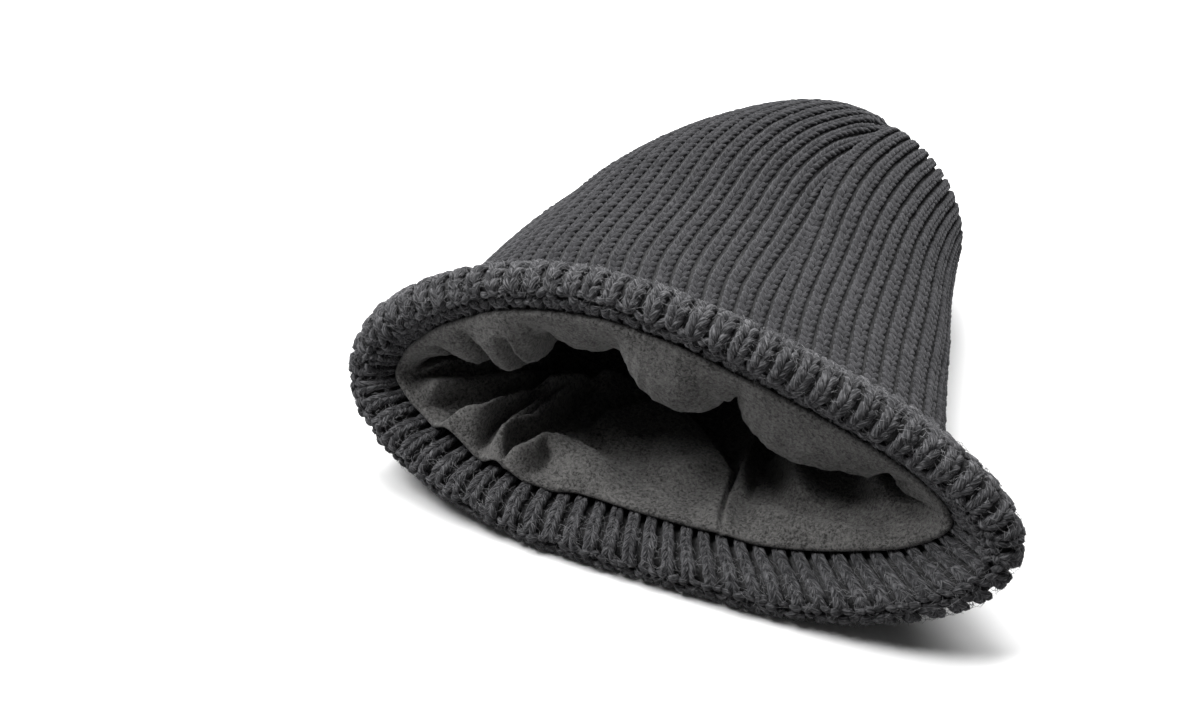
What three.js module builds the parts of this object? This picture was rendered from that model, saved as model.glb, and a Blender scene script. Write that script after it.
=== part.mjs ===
// A rib-knit beanie with a folded cuff and a fleece lining, lying on its side with its mouth open.
// Millimetres. X runs along the mouth, Y from the mouth to the tip of the crown, Z up from the surface
// that the hat rests on. The origin is on that surface, under the middle of the hat's box.
import * as THREE from 'three';

// Driving dimensions
const ribCount = 72;          // knit ribs round the hat, 18 to each of four gores
const knitWall = 5;           // thickness of one layer of the knit
const cuffHalf = 6;           // half the thickness of the cuff, measured from the middle of its fold
const foldGap = 0.7;          // from the middle of the fold to either layer of the cuff
const cuffInner = 20;         // path length of the cuff's inner layer
const cuffOuter = 28;         // path length of its outer layer, up to the rounded free edge
const cuffRelief = 1.4;       // height of the cuff's ribs
const crownRelief = 1.8;      // height of the crown's ribs
const crownTuck = 0.9;        // how far the crown lies inside the fold's middle where the cuff covers it
const crownClear = 48;        // path at which the crown has come out from under the cuff
const jointGap = 0.3;         // between the crown's lower edge and the end of the cuff's inner layer
const fleeceStart = 13;       // path of the lining's hem
const fleeceDepth = 6.5;      // depth of the lining's outer face
const fleeceWall = 2.4;       // thickness of the fleece
const dartDepth = 1.2;        // how far the four darts of the crown are drawn in
const dartStart = 118;        // path at which the darts begin
const dartShare = [0.1736, 0.4236, 0.6736, 0.9236];
const lowPower = 2.0;         // roundness of a section's lower half, 2 for an ellipse
const highPower = 1.72;       // roundness of its upper half
const middleX = -1.18;          // place of the middle of the hat's box in the sections' table
const middleY = 89.59;

// Sections of the hat from the middle of the cuff's fold to the tip. path is the length along the
// cloth, y the place at the surface, half and centre the width, low, side and top the heights of the
// lowest, widest and highest points, peak shifts the top sideways, lean tips the top back, bow carries
// the two corners back and skew turns the section.
const sectionColumns = ['path', 'y', 'half', 'centre', 'low', 'side', 'top', 'peak', 'lean', 'bow', 'skew'];
const sectionTable = [
  [0, -15.5, 105, -1, 4, 34.5, 83.5, -18, 20, 8.5, 14],
  [14, -1.5, 97, -5, 4, 35, 72.5, -15, 18, 4, 10],
  [31, 15.5, 90.5, -8, 4, 35.5, 67, -15, 15, 2, 8],
  [65, 50, 84, -11, -2, 35, 71.5, -16.5, 6, 1, 5],
  [101, 86, 76.5, -11, -2, 37, 74.5, -16, 7, 0, 3.5],
  [130, 115, 68.5, -9.5, -2, 37, 81, -10, 4, 0, 1],
  [160, 145, 60, -5.5, -2, 36, 82, -4, 0, 0, 0],
  [183, 167.5, 51, 0, 1, 35, 77.5, 0, 0, 0, 0],
  [202, 185, 39.5, 4, 7, 35, 67.5, 0, 0, 0, 0],
  [217, 197, 25, 7, 16, 35, 55, 0, 0, 0, 0],
  [229, 203, 11, 9, 27, 36, 44.5, 0, 0, 0, 0],
  [239, 204.5, 0, 10, 37, 37, 37, 0, 0, 0, 0],
];
const leanHeight = 83;        // height at which lean counts in full
const tipPath = sectionTable[sectionTable.length - 1][0];

// Swells in which the upper lining hangs down: share of the way round from the middle of the lower
// lip, half width as a share, drop in millimetres, path of the lowest line and path where it ends.
const swellColumns = ['share', 'width', 'drop', 'lowest', 'end'];
const swellTable = [
  [0.685, 0.022, 7, 24, 55],
  [0.622, 0.036, 14, 24, 60],
  [0.557, 0.028, 9, 25, 62],
  [0.485, 0.048, 19, 27, 74],
  [0.385, 0.062, 25, 28, 80],
  [0.292, 0.035, 10, 26, 60],
];

// Folds lying across the lower lining, each a ridge from one place to another.
const foldColumns = ['fromPath', 'fromShare', 'toPath', 'toShare', 'width', 'height'];
const foldTable = [
  [15, 0.815, 66, 0.878, 9, 6],
  [15, 0.864, 56, 0.888, 8, 7],
  [44, 0.965, 120, 0.950, 16, 4],
  [24, 0.118, 96, 0.150, 15, 6],
];

const named = (names, rows) => rows.map((row) => Object.fromEntries(names.map((name, i) => [name, row[i]])));
const swells = named(swellColumns, swellTable);
const folds = named(foldColumns, foldTable);
const smooth = (value, from, to) => THREE.MathUtils.smoothstep(value, from, to);

// The section at any path: a smooth curve through each column of the table.
function sectionAt(path) {
  const rows = sectionTable;
  const last = rows.length - 1;
  let i = 0;
  while (i < last - 1 && path >= rows[i + 1][0]) i += 1;
  const step = rows[i + 1][0] - rows[i][0];
  const f = (path - rows[i][0]) / step;
  const slope = (column, k) => {
    const before = k > 0 ? (rows[k][column] - rows[k - 1][column]) / (rows[k][0] - rows[k - 1][0]) : null;
    const after = k < last ? (rows[k + 1][column] - rows[k][column]) / (rows[k + 1][0] - rows[k][0]) : null;
    if (before === null) return after;
    if (after === null) return before;
    const left = rows[k][0] - rows[k - 1][0];
    const right = rows[k + 1][0] - rows[k][0];
    return (after * left + before * right) / (left + right);
  };
  const value = (column) => (2 * f ** 3 - 3 * f ** 2 + 1) * rows[i][column]
    + (f ** 3 - 2 * f ** 2 + f) * step * slope(column, i)
    + (3 * f ** 2 - 2 * f ** 3) * rows[i + 1][column]
    + (f ** 3 - f ** 2) * step * slope(column, i + 1);
  return Object.fromEntries(sectionColumns.map((name, column) => [name, column ? value(column) : path]));
}

// A point of a section, a rounded lens whose lower and upper halves have their own roundness.
function outlinePoint(section, angle) {
  const across = Math.cos(angle);
  const upward = Math.sin(angle);
  const power = 2 / (upward >= 0 ? highPower : lowPower);
  const c = Math.sign(across) * Math.abs(across) ** power;
  const s = Math.sign(upward) * Math.abs(upward) ** power;
  const x = section.centre + section.half * c + section.peak * Math.max(s, 0) ** 2;
  const z = section.side + s * (s > 0 ? section.top - section.side : section.side - section.low);
  const y = section.y + section.lean * z / leanHeight + section.bow * c ** 4 - section.skew * c;
  return new THREE.Vector3(x, y, z);
}

// Each ring is measured once, so that a share of the way round is a share of its real girth. Its two
// pointed corners are rounded by averaging each point with its neighbours along the cloth.
const ringSteps = 360;
const roundingSteps = 4;
const roundingPasses = 3;
const rings = new Map();
function measured(points) {
  const lengths = [0];
  for (let k = 1; k < points.length; k += 1) lengths.push(lengths[k - 1] + points[k].distanceTo(points[k - 1]));
  return { points, lengths };
}

function pointOn({ points, lengths }, share) {
  const wanted = (share - Math.floor(share)) * lengths[lengths.length - 1];
  let low = 0;
  let high = lengths.length - 1;
  while (high - low > 1) {
    const middle = (low + high) >> 1;
    if (lengths[middle] <= wanted) low = middle;
    else high = middle;
  }
  const span = lengths[high] - lengths[low];
  return points[low].clone().lerp(points[high], span > 0 ? (wanted - lengths[low]) / span : 0);
}

function rounded(points) {
  return points.map((_, k) => {
    const sum = new THREE.Vector3();
    for (let j = k - roundingSteps; j <= k + roundingSteps; j += 1) sum.add(points[(j + ringSteps) % ringSteps]);
    return sum.divideScalar(2 * roundingSteps + 1);
  });
}

function ringAt(path) {
  if (!rings.has(path)) {
    const section = sectionAt(path);
    const steps = Array.from({ length: ringSteps + 1 }, (_, k) => k % ringSteps);
    const outline = measured(steps.map((k) => outlinePoint(section, 2 * Math.PI * k / ringSteps - Math.PI / 2)));
    let even = steps.slice(0, ringSteps).map((k) => pointOn(outline, k / ringSteps));
    for (let pass = 0; pass < roundingPasses; pass += 1) even = rounded(even);
    rings.set(path, measured([...even, even[0]]));
  }
  return rings.get(path);
}

// The reference surface: the middle of the cuff's fold, and the tops of the ribs on the crown.
// In front of the fold it runs straight on, which gives the cuff its rounded nose.
function reference(path, share) {
  if (path < 0) {
    const start = reference(0, share);
    const forward = start.clone().sub(reference(1, share)).normalize();
    return start.addScaledVector(forward, -path);
  }
  return pointOn(ringAt(path), share);
}

function outward(path, share) {
  const along = Math.max(path, 0.5);
  const pathStep = 0.5;
  const shareStep = 0.003;
  const around = reference(along, share + shareStep).sub(reference(along, share - shareStep));
  const back = reference(along + pathStep, share).sub(reference(along - pathStep, share));
  return back.cross(around).normalize();
}

// A point at a depth under the reference surface. Cloth that would reach below the surface that the
// hat rests on is pressed flat there, layer on layer, so each layer has a lowest height of its own.
const proud = (path) => cuffHalf * (1 - smooth(path, cuffOuter + 2, crownClear));
function clothPoint(path, share, depth, layer) {
  const point = reference(path, share).addScaledVector(outward(path, share), -depth);
  point.z = Math.max(point.z, Math.max(layer + proud(path), 0));
  return point;
}

// Ribs: half a wave up, half a wave down, so an even count of columns puts one on each top and groove.
const ribWave = (share) => 0.5 - 0.5 * Math.cos(2 * Math.PI * ribCount * share);

function cuffPoint({ path, depth, ribbed }, share) {
  const shrink = ribbed ? 1 - cuffRelief * ribWave(share) / cuffHalf : 1;
  const nose = path < 0;
  return clothPoint(nose ? path * shrink : path, share, depth * shrink, depth);
}

const crownTop = (path) => crownTuck * (1 - smooth(path, cuffOuter, crownClear));
function dart(path, share) {
  const nearest = Math.min(...dartShare.map((at) => Math.abs(((share - at + 1.5) % 1) - 0.5)));
  const halfRib = 0.5 / ribCount;
  return dartDepth * smooth(path, dartStart, dartStart + 30) * (1 - smooth(nearest, halfRib, 3 * halfRib));
}

function crownPoint({ path, inner }, share) {
  const ribs = crownRelief * (1 - smooth(path, 214, 236));
  const top = crownTop(path);
  if (inner) return clothPoint(path, share, top + knitWall, top + knitWall);
  return clothPoint(path, share, top + ribs * ribWave(share) + dart(path, share), top);
}

// How far the lining stands in from the knit.
function liningLift(path, share) {
  const swell = Math.max(0, ...swells.map(({ share: at, width, drop, lowest, end }) => {
    const side = 1 - ((share - at) / width) ** 2;
    const rise = smooth(path, fleeceStart, lowest) * (1 - smooth(path, lowest + 8, end));
    return side > 0 ? drop * side ** 0.7 * rise : 0;
  }));
  const girth = 400;
  const ridge = Math.max(0, ...folds.map(({ fromPath, fromShare, toPath, toShare, width, height }) => {
    const run = new THREE.Vector2(toPath - fromPath, (toShare - fromShare) * girth);
    const here = new THREE.Vector2(path - fromPath, (share - fromShare) * girth);
    const along = THREE.MathUtils.clamp(here.dot(run) / run.lengthSq(), 0, 1);
    const away = here.sub(run.multiplyScalar(along)).length();
    const fade = 1 - smooth(along, 0.6, 1);
    return away < width ? height * fade * Math.cos(Math.PI * away / (2 * width)) ** 2 : 0;
  }));
  return swell + ridge * smooth(path, fleeceStart, fleeceStart + 8);
}

function liningPoint({ path, inner }, share) {
  const depth = fleeceDepth + (inner ? fleeceWall : 0);
  const point = clothPoint(path, share, depth, depth);
  const inward = outward(path, share).negate();
  return point.addScaledVector(inward, liningLift(path, share));
}

// A closed solid from rows of points. A row has a count of columns, or is a single pole; next to a
// row of half its columns the strip between them has three triangles to each pair of columns.
function solidFrom(rows, closed) {
  const positions = [];
  const starts = rows.map((row) => {
    const start = positions.length / 3;
    row.forEach((point) => positions.push(point.x, point.y, point.z));
    return start;
  });
  const triangles = [];
  const strips = closed ? rows.length : rows.length - 1;
  for (let r = 0; r < strips; r += 1) {
    const next = (r + 1) % rows.length;
    const here = rows[r].length;
    const there = rows[next].length;
    const a = (k) => starts[r] + (k % here);
    const b = (k) => starts[next] + (k % there);
    for (let k = 0; k < Math.min(here === 1 ? there : here, there === 1 ? here : there); k += 1) {
      if (here === 1) triangles.push(a(0), b(k + 1), b(k));
      else if (there === 1) triangles.push(a(k), a(k + 1), b(0));
      else if (here === there) triangles.push(a(k), a(k + 1), b(k), a(k + 1), b(k + 1), b(k));
      else if (here > there) {
        triangles.push(a(2 * k), a(2 * k + 1), b(k), a(2 * k + 1), b(k + 1), b(k));
        triangles.push(a(2 * k + 1), a(2 * k + 2), b(k + 1));
      } else {
        triangles.push(a(k), b(2 * k + 1), b(2 * k), a(k), a(k + 1), b(2 * k + 1));
        triangles.push(a(k + 1), b(2 * k + 2), b(2 * k + 1));
      }
    }
  }
  const corner = (i) => new THREE.Vector3().fromArray(positions, 3 * triangles[i]);
  let volume = 0;
  for (let i = 0; i < triangles.length; i += 3) {
    volume += corner(i).dot(corner(i + 1).cross(corner(i + 2))) / 6;
  }
  if (volume < 0) triangles.reverse();
  const geometry = new THREE.BufferGeometry();
  geometry.setAttribute('position', new THREE.Float32BufferAttribute(positions, 3));
  geometry.setIndex(triangles);
  geometry.computeVertexNormals();
  return geometry;
}

const ringOf = (columns, place) => Array.from({ length: columns }, (_, k) => place(k / columns));
const poleAt = (depth) => [reference(tipPath, 0).add(new THREE.Vector3(0, -depth, 0))];
const ribbedColumns = 2 * ribCount;
const plainColumns = ribCount;

// The cuff: inner layer, fold and outer layer in one closed section, as path and depth.
const noseSlant = cuffHalf * Math.SQRT1_2;
const cuffSection = [
  [cuffInner, foldGap], [1, foldGap], [1, -foldGap], [14, -foldGap], [cuffOuter, -foldGap],
  [cuffOuter + 1.8, -(cuffHalf + foldGap) / 2],
  [cuffOuter, -cuffHalf, 1], [14, -cuffHalf, 1], [0, -cuffHalf, 1],
  [-noseSlant, -noseSlant, 1], [-cuffHalf, 0, 1], [-noseSlant, noseSlant, 1],
  [0, cuffHalf, 1], [10, cuffHalf, 1], [cuffInner, cuffHalf, 1],
].map(([path, depth, ribbed]) => ({ path, depth, ribbed }));
const cuffRows = cuffSection.map((row) => ringOf(ribbedColumns, (share) => cuffPoint(row, share)));

// The crown: ribbed outside from its lower edge to the tip, plain inside and back again.
const crownEdge = cuffInner + jointGap;
const crownOutside = [crownEdge, 34, 52, 76, 104, 132, 158, 183, 206, 221, 232];
const crownInside = [222, 200, 175, 145, 115, 85, 55, 36, crownEdge];
const crownRows = [
  ...crownOutside.map((path) => ringOf(ribbedColumns, (share) => crownPoint({ path }, share))),
  poleAt(0),
  poleAt(knitWall),
  ...crownInside.map((path) => ringOf(plainColumns, (share) => crownPoint({ path, inner: true }, share))),
];

// The lining: a fleece bag from its hem to a rounded end inside the tip.
const liningOutside = [fleeceStart, 20, 28, 38, 50, 68, 95, 130, 165, 195, 216];
const liningInside = [216, 195, 165, 130, 95, 68, 50, 38, 28, 20, fleeceStart];
const liningRows = [
  ...liningOutside.map((path) => ringOf(plainColumns, (share) => liningPoint({ path }, share))),
  poleAt(fleeceDepth + 1),
  poleAt(fleeceDepth + 1 + fleeceWall),
  ...liningInside.map((path) => ringOf(plainColumns, (share) => liningPoint({ path, inner: true }, share))),
];

const charcoalKnit = { color: '#414043', roughness: 0.95, metalness: 0 };
const greyFleece = { color: '#4a4949', roughness: 1, metalness: 0 };

const beanie = new THREE.Group();
[
  ['cuff', solidFrom(cuffRows, true), charcoalKnit],
  ['knit_crown', solidFrom(crownRows, true), charcoalKnit],
  ['fleece_lining', solidFrom(liningRows, true), greyFleece],
].forEach(([name, geometry, finish]) => {
  const mesh = new THREE.Mesh(geometry, new THREE.MeshStandardMaterial(finish));
  mesh.name = name;
  mesh.position.set(-middleX, -middleY, 0);
  beanie.add(mesh);
});

export default beanie;
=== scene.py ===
# %% [markdown]
# # A cuffed beanie, lying on its side
# A lined rib-knit hat is three soft layers: a ribbed crown, a cuff that is folded up round the mouth,
# and a fleece bag sewn inside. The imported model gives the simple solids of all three. This lesson puts
# real knitting and real fleece in their place, in the same frame and in metres.
# The lengths in the tables are millimetres, because a knitter measures in them, and each mesh is
# turned into metres as it is made.

# %% Frame and tools
import bpy
import numpy as np
from mathutils import Matrix


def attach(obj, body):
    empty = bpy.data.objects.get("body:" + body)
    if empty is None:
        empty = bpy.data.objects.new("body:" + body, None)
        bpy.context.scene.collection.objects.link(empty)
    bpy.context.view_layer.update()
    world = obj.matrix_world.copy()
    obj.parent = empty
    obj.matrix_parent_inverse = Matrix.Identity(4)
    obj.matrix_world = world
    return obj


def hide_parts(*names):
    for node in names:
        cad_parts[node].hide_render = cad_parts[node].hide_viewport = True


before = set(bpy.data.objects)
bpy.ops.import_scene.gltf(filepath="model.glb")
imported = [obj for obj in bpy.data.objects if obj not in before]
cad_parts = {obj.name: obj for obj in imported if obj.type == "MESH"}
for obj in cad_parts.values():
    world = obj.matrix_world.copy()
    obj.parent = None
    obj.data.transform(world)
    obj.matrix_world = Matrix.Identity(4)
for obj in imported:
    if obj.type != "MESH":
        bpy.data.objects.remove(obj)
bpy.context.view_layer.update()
MM = 0.001
print("CAD nodes:", sorted(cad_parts))


def add_object(name, data):
    """An object in the scene that shows this data."""
    thing = bpy.data.objects.new(name, data)
    bpy.context.scene.collection.objects.link(thing)
    return thing


# %% [markdown]
# ## The camera
# The photograph looks down on the hat from 31 degrees above the surface and 20 degrees to the right
# of the hat's axis. A long lens about 70 cm away keeps the perspective gentle. The camera is built
# from its own three directions, so that one chosen point lands on one chosen pixel with no shift.

# %% Camera
VIEW_AZIMUTH = np.radians(20)
VIEW_ELEVATION = np.radians(31)
VIEW_DISTANCE = 0.700
VIEW_TARGET = np.array([0.00118, -0.08959, 0.040])
TARGET_PIXEL = np.array([670, 440])
IMAGE_SIZE = np.array([1200, 720])
FOCAL_PIXELS = 2360
SENSOR_WIDTH = 36


def make_camera():
    """Places the camera back along its look direction, then aside, until the target is at its pixel."""
    look = np.array([
        -np.sin(VIEW_AZIMUTH) * np.cos(VIEW_ELEVATION),
        np.cos(VIEW_AZIMUTH) * np.cos(VIEW_ELEVATION),
        -np.sin(VIEW_ELEVATION),
    ])
    right = np.array([np.cos(VIEW_AZIMUTH), np.sin(VIEW_AZIMUTH), 0])
    up = np.cross(right, look)
    aside = (TARGET_PIXEL - IMAGE_SIZE / 2) / FOCAL_PIXELS * VIEW_DISTANCE
    place = VIEW_TARGET - look * VIEW_DISTANCE - right * aside[0] + up * aside[1]
    lens = bpy.data.cameras.new("photo_camera")
    lens.sensor_width = SENSOR_WIDTH
    lens.lens = FOCAL_PIXELS / IMAGE_SIZE[0] * SENSOR_WIDTH
    camera = add_object("photo_camera", lens)
    turn = Matrix(np.column_stack([right, up, -look]).tolist())
    camera.matrix_world = Matrix.Translation(place.tolist()) @ turn.to_4x4()
    bpy.context.scene.camera = camera
    return camera


camera = make_camera()
print("camera at", [round(value, 3) for value in camera.matrix_world.translation])

# %% [markdown]
# ## The lie of the hat
# A limp hat has no simple form, but every layer of it follows one surface: the middle of the cuff's
# fold, carried on as the tops of the crown's ribs. The table gives that surface as sections along
# the cloth. Each section is a lens shape with its own width, height and lean, as the solids have it.
# Two numbers then name any place on the hat: the path along the cloth from the fold, in millimetres,
# and the share of the way round, from the middle of the lower lip.

# %% Sections of the hat
SECTION_COLUMNS = ["path", "y", "half", "centre", "low", "side", "top", "peak", "lean", "bow", "skew"]
SECTIONS = np.array([
    [0, -15.5, 105, -1, 4, 34.5, 83.5, -18, 20, 8.5, 14],
    [14, -1.5, 97, -5, 4, 35, 72.5, -15, 18, 4, 10],
    [31, 15.5, 90.5, -8, 4, 35.5, 67, -15, 15, 2, 8],
    [65, 50, 84, -11, -2, 35, 71.5, -16.5, 6, 1, 5],
    [101, 86, 76.5, -11, -2, 37, 74.5, -16, 7, 0, 3.5],
    [130, 115, 68.5, -9.5, -2, 37, 81, -10, 4, 0, 1],
    [160, 145, 60, -5.5, -2, 36, 82, -4, 0, 0, 0],
    [183, 167.5, 51, 0, 1, 35, 77.5, 0, 0, 0, 0],
    [202, 185, 39.5, 4, 7, 35, 67.5, 0, 0, 0, 0],
    [217, 197, 25, 7, 16, 35, 55, 0, 0, 0, 0],
    [229, 203, 11, 9, 27, 36, 44.5, 0, 0, 0, 0],
    [239, 204.5, 0, 10, 37, 37, 37, 0, 0, 0, 0],
], dtype=float)
LEAN_HEIGHT = 83
LOW_POWER = 2.0
HIGH_POWER = 1.72
HAT_MIDDLE = np.array([-1.18, 89.59, 0])
RING_STEPS = 360
ROUNDING_STEPS = 4
ROUNDING_PASSES = 3
TIP_PATH = SECTIONS[-1, 0]
PATH_STEP = 0.5
SHARE_COUNT = 1440
NORMAL_SHARE_STEP = 4


def sections_at(path):
    """Each column at each path: the cubic through the table's rows with its slopes weighted by step."""
    knots = SECTIONS[:, 0]
    steps = np.diff(knots)[:, None]
    rises = np.diff(SECTIONS[:, 1:], axis=0) / steps
    slopes = np.vstack([
        rises[:1],
        (rises[1:] * steps[:-1] + rises[:-1] * steps[1:]) / (steps[:-1] + steps[1:]),
        rises[-1:],
    ])
    row = np.clip(np.searchsorted(knots, path, side="right") - 1, 0, len(knots) - 2)
    step = steps[row]
    f = (path[:, None] - knots[row][:, None]) / step
    values = (
        (2 * f**3 - 3 * f**2 + 1) * SECTIONS[row, 1:]
        + (f**3 - 2 * f**2 + f) * step * slopes[row]
        + (3 * f**2 - 2 * f**3) * SECTIONS[row + 1, 1:]
        + (f**3 - f**2) * step * slopes[row + 1]
    )
    return {name: values[:, [i]] for i, name in enumerate(SECTION_COLUMNS[1:])}


def evenly_round(ring, count):
    """The points of a closed ring at even steps of its own length."""
    lengths = np.concatenate([[0], np.cumsum(np.linalg.norm(np.diff(ring, axis=0), axis=1))])
    wanted = np.linspace(0, lengths[-1], count + 1)
    return np.column_stack([np.interp(wanted, lengths, ring[:, axis]) for axis in range(3)])


def rings_at(path):
    """Lens outlines, evened along their length and rounded by averaging each point with its neighbours."""
    section = sections_at(path)
    angle = 2 * np.pi * np.arange(RING_STEPS + 1) / RING_STEPS - np.pi / 2
    across = np.cos(angle)[None, :]
    upward = np.sin(angle)[None, :]
    power = 2 / np.where(upward >= 0, HIGH_POWER, LOW_POWER)
    c = np.sign(across) * np.abs(across) ** power
    s = np.sign(upward) * np.abs(upward) ** power
    x = section["centre"] + section["half"] * c + section["peak"] * np.maximum(s, 0) ** 2
    height = np.where(s > 0, section["top"] - section["side"], section["side"] - section["low"])
    z = section["side"] + s * height
    y = section["y"] + section["lean"] * z / LEAN_HEIGHT + section["bow"] * c**4 - section["skew"] * c
    rings = []
    for outline in np.stack([x, y, z], axis=-1):
        even = evenly_round(outline, RING_STEPS)[:-1]
        for _ in range(ROUNDING_PASSES):
            shifts = range(-ROUNDING_STEPS, ROUNDING_STEPS + 1)
            even = sum(np.roll(even, shift, axis=0) for shift in shifts) / len(shifts)
        rings.append(evenly_round(np.vstack([even, even[:1]]), SHARE_COUNT))
    return np.array(rings)


path_rows = np.arange(0, TIP_PATH - PATH_STEP / 2, PATH_STEP)
REFERENCE = rings_at(path_rows)
GIRTH = np.linalg.norm(np.diff(REFERENCE, axis=1), axis=2).sum(axis=1)
shown_paths = [0, 65, 160]
print("girth at the paths", shown_paths, "is", np.interp(shown_paths, path_rows, GIRTH).round())


def directions_out():
    """Outward is the cross product of the way back along the cloth and the way round it."""
    ring = REFERENCE[:, :-1]
    around = np.roll(ring, -NORMAL_SHARE_STEP, axis=1) - np.roll(ring, NORMAL_SHARE_STEP, axis=1)
    back = np.empty_like(ring)
    back[1:-1] = ring[2:] - ring[:-2]
    back[0] = back[1]
    back[-1] = back[-2]
    out = np.cross(back, around)
    out /= np.linalg.norm(out, axis=-1, keepdims=True)
    return np.concatenate([out, out[:, :1]], axis=1)


OUTWARD = directions_out()
print("outward at the middle of the lower lip's fold:", OUTWARD[0, 0].round(2))

# %% [markdown]
# ## Laying a point on the hat
# Everything below is placed by path, share and depth under the reference surface. Cloth that would
# reach through the surface that the hat lies on is pressed flat there, layer upon layer, so the crown
# and the lining lie higher where the cuff is under them.

# %% Placing points
CUFF_HALF = 6
CUFF_INNER = 20
CUFF_OUTER = 28
CUFF_CLEAR = CUFF_OUTER + 2
CROWN_CLEAR = 48
RIB_COUNT = 72


def smooth(value, start, end):
    """0 before start, 1 after end, and an S curve between them."""
    t = np.clip((value - start) / (end - start), 0, 1)
    return t * t * (3 - 2 * t)


def sample(table, path, share):
    """Reads a table of path rows and share columns between its four nearest entries."""
    row = np.clip(path / PATH_STEP, 0, len(table) - 1.001)
    column = np.mod(share, 1) * SHARE_COUNT
    r = row.astype(int)
    c = np.minimum(column.astype(int), SHARE_COUNT - 1)
    down = (row - r)[..., None]
    along = (column - c)[..., None]
    near = table[r, c] * (1 - along) + table[r, c + 1] * along
    far = table[r + 1, c] * (1 - along) + table[r + 1, c + 1] * along
    return near * (1 - down) + far * down


def cloth(path, share, depth, layer):
    """The reference point moved in by depth, and no lower than its layer's height over the floor.

    Before the fold the surface runs straight on.
    """
    path, share, depth, layer = np.broadcast_arrays(path, share, depth, layer)
    point = sample(REFERENCE, np.maximum(path, 0), share)
    forward = point - sample(REFERENCE, np.maximum(path, 0) + 1, share)
    forward /= np.linalg.norm(forward, axis=-1, keepdims=True)
    point = point + forward * np.maximum(-path, 0)[..., None]
    point = point - sample(OUTWARD, np.maximum(path, PATH_STEP), share) * depth[..., None]
    proud = CUFF_HALF * (1 - smooth(path, CUFF_CLEAR, CROWN_CLEAR))
    point[..., 2] = np.maximum(point[..., 2], np.maximum(layer + proud, 0))
    return point


def girth_at(path):
    """The girth of the reference surface at a path."""
    return np.interp(path, path_rows, GIRTH)


def wander(share, path, seed, turns, length, waves=7):
    """A smooth unevenness of about -1 to 1: several waves, each a whole number of turns round the hat."""
    draw = np.random.default_rng(seed)
    total = 0
    for _ in range(waves):
        turn = draw.integers(1, turns + 1) * draw.choice([-1, 1])
        pace = 2 * np.pi / (length * draw.uniform(1, 2.5))
        total = total + np.sin(2 * np.pi * turn * share + pace * path + draw.uniform(0, 2 * np.pi))
    return total / np.sqrt(waves)


print("one rib at the fold is", round(girth_at(0) / RIB_COUNT, 2), "mm wide")

# %% [markdown]
# ## Making meshes from arrays
# A surface is a grid of points, so its faces are an array too. A helper puts both in a mesh with
# foreach_set, gives it a UV map in centimetres of yarn or cloth, and turns every face outwards by the
# sign of the volume that the faces enclose.

# %% Mesh helpers
CM = 10


def grid_quads(rows, columns, start=0):
    """Quads that join a grid whose last column meets its first."""
    r, c = np.meshgrid(np.arange(rows - 1), np.arange(columns), indexing="ij")
    after = (c + 1) % columns
    corners = [r * columns + c, r * columns + after, (r + 1) * columns + after, (r + 1) * columns + c]
    return start + np.stack(corners, axis=-1).reshape(-1, 4)


def pole_triangles(ring, pole):
    """Triangles from each step of a closed ring of vertex numbers to one pole."""
    return np.column_stack([ring, np.roll(ring, -1), np.full(len(ring), pole)])


def rim_quads(first, second, columns):
    """Quads from one ring of vertex numbers to another."""
    step = np.arange(columns)
    after = (step + 1) % columns
    return np.column_stack([first + step, first + after, second + after, second + step])


def bag_faces(first_rows, second_rows, columns):
    """Faces of a closed bag of two walls: a grid, both poles, the other grid, and a rim that joins them."""
    pole = first_rows * columns
    start = pole + 2
    quads = np.vstack([
        grid_quads(first_rows, columns),
        grid_quads(second_rows, columns, start),
        rim_quads(start + (second_rows - 1) * columns, 0, columns),
    ])
    fans = np.vstack([
        pole_triangles(np.arange(columns) + pole - columns, pole),
        pole_triangles(np.arange(columns) + start, pole + 1)[:, ::-1],
    ])
    return quads, fans


def cloth_uv(length, share, girth):
    """The UV of a grid: its length along the cloth and its way round it, in centimetres."""
    return np.stack(np.meshgrid(length / CM, share * girth / CM, indexing="ij"), axis=-1).reshape(-1, 2)


def bag_uv(first, second, share, girth, pole):
    """The UV of a bag's two walls, with both poles at one length."""
    poles = [[pole, 0], [pole, 0]]
    return np.vstack([cloth_uv(first, share, girth), poles, cloth_uv(second, share, girth)])


def volume_of(points, quads, triangles):
    """Six times the volume inside: the sum of corner . (corner x corner) over every triangle."""
    split = np.vstack([quads[:, [0, 1, 2]], quads[:, [0, 2, 3]], triangles])
    a, b, c = points[split[:, 0]], points[split[:, 1]], points[split[:, 2]]
    return np.einsum("ij,ij->", a, np.cross(b, c))


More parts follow.
